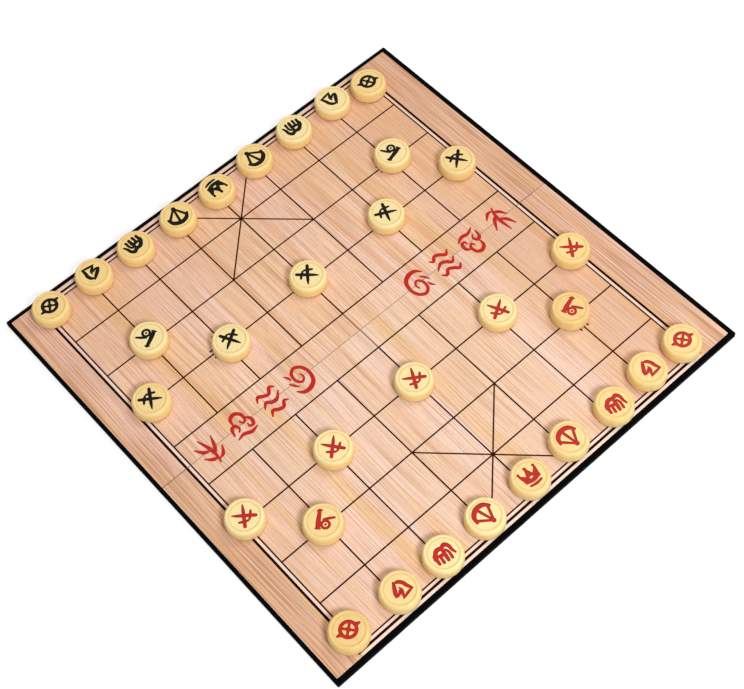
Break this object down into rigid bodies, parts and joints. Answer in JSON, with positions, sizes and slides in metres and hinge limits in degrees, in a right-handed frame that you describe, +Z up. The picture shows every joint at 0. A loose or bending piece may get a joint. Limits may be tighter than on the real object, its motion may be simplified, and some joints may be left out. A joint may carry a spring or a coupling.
{
  "type": "folding xiangqi board with discs",
  "caption": "Thin square folding board with a printed grid and a cloth hinge, open, with round bevelled playing discs set out on it.",
  "frame": {"origin": "middle of the open board's underside, on the fold", "axes": "+X along the fold, +Y from the red side to the black side, +Z up out of the playing face"},
  "size_m": [0.393, 0.392, 0.0159],
  "materials": {
    "fibreboard": "sawn medium-density fibreboard",
    "book_cloth": "black coated book cloth with a fine grain",
    "hinge_cloth": "black woven hinge cloth",
    "printed_sheet": "satin laminated paper printed with wood grain and the grid",
    "disc_plastic": "cream moulded plastic with a soft gloss"
  },
  "bodies": {
    "red_half": {"red_side_core": "fibreboard", "red_side_core_2": "fibreboard", "red_side_hinge_cloth": "hinge_cloth", "red_side_sheet": "printed_sheet", "red_side_wrap": "book_cloth"},
    "black_half": {"black_side_core": "fibreboard", "black_side_core_2": "fibreboard", "black_side_hinge_cloth": "hinge_cloth", "black_side_sheet": "printed_sheet", "black_side_wrap": "book_cloth"},
    "red_general": {"red_general": "disc_plastic"},
    "black_general": {"black_general": "disc_plastic"},
    "red_advisor_1": {"red_advisor_1": "disc_plastic"},
    "black_advisor_1": {"black_advisor_1": "disc_plastic"},
    "red_advisor_2": {"red_advisor_2": "disc_plastic"},
    "black_advisor_2": {"black_advisor_2": "disc_plastic"},
    "red_elephant_1": {"red_elephant_1": "disc_plastic"},
    "black_elephant_1": {"black_elephant_1": "disc_plastic"},
    "red_elephant_2": {"red_elephant_2": "disc_plastic"},
    "black_elephant_2": {"black_elephant_2": "disc_plastic"},
    "red_horse_1": {"red_horse_1": "disc_plastic"},
    "black_horse_1": {"black_horse_1": "disc_plastic"},
    "red_horse_2": {"red_horse_2": "disc_plastic"},
    "black_horse_2": {"black_horse_2": "disc_plastic"},
    "red_chariot_1": {"red_chariot_1": "disc_plastic"},
    "black_chariot_1": {"black_chariot_1": "disc_plastic"},
    "red_chariot_2": {"red_chariot_2": "disc_plastic"},
    "black_chariot_2": {"black_chariot_2": "disc_plastic"},
    "red_cannon_1": {"red_cannon_1": "disc_plastic"},
    "black_cannon_1": {"black_cannon_1": "disc_plastic"},
    "red_cannon_2": {"red_cannon_2": "disc_plastic"},
    "black_cannon_2": {"black_cannon_2": "disc_plastic"},
    "red_soldier_1": {"red_soldier_1": "disc_plastic"},
    "black_soldier_1": {"black_soldier_1": "disc_plastic"},
    "red_soldier_2": {"red_soldier_2": "disc_plastic"},
    "black_soldier_2": {"black_soldier_2": "disc_plastic"},
    "red_soldier_3": {"red_soldier_3": "disc_plastic"},
    "black_soldier_3": {"black_soldier_3": "disc_plastic"},
    "red_soldier_4": {"red_soldier_4": "disc_plastic"},
    "black_soldier_4": {"black_soldier_4": "disc_plastic"},
    "red_soldier_5": {"red_soldier_5": "disc_plastic"},
    "black_soldier_5": {"black_soldier_5": "disc_plastic"}
  },
  "joints": [
    {"name": "fold", "type": "hinge", "parent": "red_half", "child": "black_half", "pos_m": [0, 0, -0.00015], "axis": [-1, 0, 0], "range_deg": [0, 180]},
    {"name": "lift_red_general", "type": "slide", "parent": "red_half", "child": "red_general", "axis": [0, 0, 1], "range_m": [0, 0.04]},
    {"name": "lift_black_general", "type": "slide", "parent": "black_half", "child": "black_general", "axis": [0, 0, 1], "range_m": [0, 0.04]},
    {"name": "lift_red_advisor_1", "type": "slide", "parent": "red_half", "child": "red_advisor_1", "axis": [0, 0, 1], "range_m": [0, 0.04]},
    {"name": "lift_black_advisor_1", "type": "slide", "parent": "black_half", "child": "black_advisor_1", "axis": [0, 0, 1], "range_m": [0, 0.04]},
    {"name": "lift_red_advisor_2", "type": "slide", "parent": "red_half", "child": "red_advisor_2", "axis": [0, 0, 1], "range_m": [0, 0.04]},
    {"name": "lift_black_advisor_2", "type": "slide", "parent": "black_half", "child": "black_advisor_2", "axis": [0, 0, 1], "range_m": [0, 0.04]},
    {"name": "lift_red_elephant_1", "type": "slide", "parent": "red_half", "child": "red_elephant_1", "axis": [0, 0, 1], "range_m": [0, 0.04]},
    {"name": "lift_black_elephant_1", "type": "slide", "parent": "black_half", "child": "black_elephant_1", "axis": [0, 0, 1], "range_m": [0, 0.04]},
    {"name": "lift_red_elephant_2", "type": "slide", "parent": "red_half", "child": "red_elephant_2", "axis": [0, 0, 1], "range_m": [0, 0.04]},
    {"name": "lift_black_elephant_2", "type": "slide", "parent": "black_half", "child": "black_elephant_2", "axis": [0, 0, 1], "range_m": [0, 0.04]},
    {"name": "lift_red_horse_1", "type": "slide", "parent": "red_half", "child": "red_horse_1", "axis": [0, 0, 1], "range_m": [0, 0.04]},
    {"name": "lift_black_horse_1", "type": "slide", "parent": "black_half", "child": "black_horse_1", "axis": [0, 0, 1], "range_m": [0, 0.04]},
    {"name": "lift_red_horse_2", "type": "slide", "parent": "red_half", "child": "red_horse_2", "axis": [0, 0, 1], "range_m": [0, 0.04]},
    {"name": "lift_black_horse_2", "type": "slide", "parent": "black_half", "child": "black_horse_2", "axis": [0, 0, 1], "range_m": [0, 0.04]},
    {"name": "lift_red_chariot_1", "type": "slide", "parent": "red_half", "child": "red_chariot_1", "axis": [0, 0, 1], "range_m": [0, 0.04]},
    {"name": "lift_black_chariot_1", "type": "slide", "parent": "black_half", "child": "black_chariot_1", "axis": [0, 0, 1], "range_m": [0, 0.04]},
    {"name": "lift_red_chariot_2", "type": "slide", "parent": "red_half", "child": "red_chariot_2", "axis": [0, 0, 1], "range_m": [0, 0.04]},
    {"name": "lift_black_chariot_2", "type": "slide", "parent": "black_half", "child": "black_chariot_2", "axis": [0, 0, 1], "range_m": [0, 0.04]},
    {"name": "lift_red_cannon_1", "type": "slide", "parent": "red_half", "child": "red_cannon_1", "axis": [0, 0, 1], "range_m": [0, 0.04]},
    {"name": "lift_black_cannon_1", "type": "slide", "parent": "black_half", "child": "black_cannon_1", "axis": [0, 0, 1], "range_m": [0, 0.04]},
    {"name": "lift_red_cannon_2", "type": "slide", "parent": "red_half", "child": "red_cannon_2", "axis": [0, 0, 1], "range_m": [0, 0.04]},
    {"name": "lift_black_cannon_2", "type": "slide", "parent": "black_half", "child": "black_cannon_2", "axis": [0, 0, 1], "range_m": [0, 0.04]},
    {"name": "lift_red_soldier_1", "type": "slide", "parent": "red_half", "child": "red_soldier_1", "axis": [0, 0, 1], "range_m": [0, 0.04]},
    {"name": "lift_black_soldier_1", "type": "slide", "parent": "black_half", "child": "black_soldier_1", "axis": [0, 0, 1], "range_m": [0, 0.04]},
    {"name": "lift_red_soldier_2", "type": "slide", "parent": "red_half", "child": "red_soldier_2", "axis": [0, 0, 1], "range_m": [0, 0.04]},
    {"name": "lift_black_soldier_2", "type": "slide", "parent": "black_half", "child": "black_soldier_2", "axis": [0, 0, 1], "range_m": [0, 0.04]},
    {"name": "lift_red_soldier_3", "type": "slide", "parent": "red_half", "child": "red_soldier_3", "axis": [0, 0, 1], "range_m": [0, 0.04]},
    {"name": "lift_black_soldier_3", "type": "slide", "parent": "black_half", "child": "black_soldier_3", "axis": [0, 0, 1], "range_m": [0, 0.04]},
    {"name": "lift_red_soldier_4", "type": "slide", "parent": "red_half", "child": "red_soldier_4", "axis": [0, 0, 1], "range_m": [0, 0.04]},
    {"name": "lift_black_soldier_4", "type": "slide", "parent": "black_half", "child": "black_soldier_4", "axis": [0, 0, 1], "range_m": [0, 0.04]},
    {"name": "lift_red_soldier_5", "type": "slide", "parent": "red_half", "child": "red_soldier_5", "axis": [0, 0, 1], "range_m": [0, 0.04]},
    {"name": "lift_black_soldier_5", "type": "slide", "parent": "black_half", "child": "black_soldier_5", "axis": [0, 0, 1], "range_m": [0, 0.04]}
  ]
}
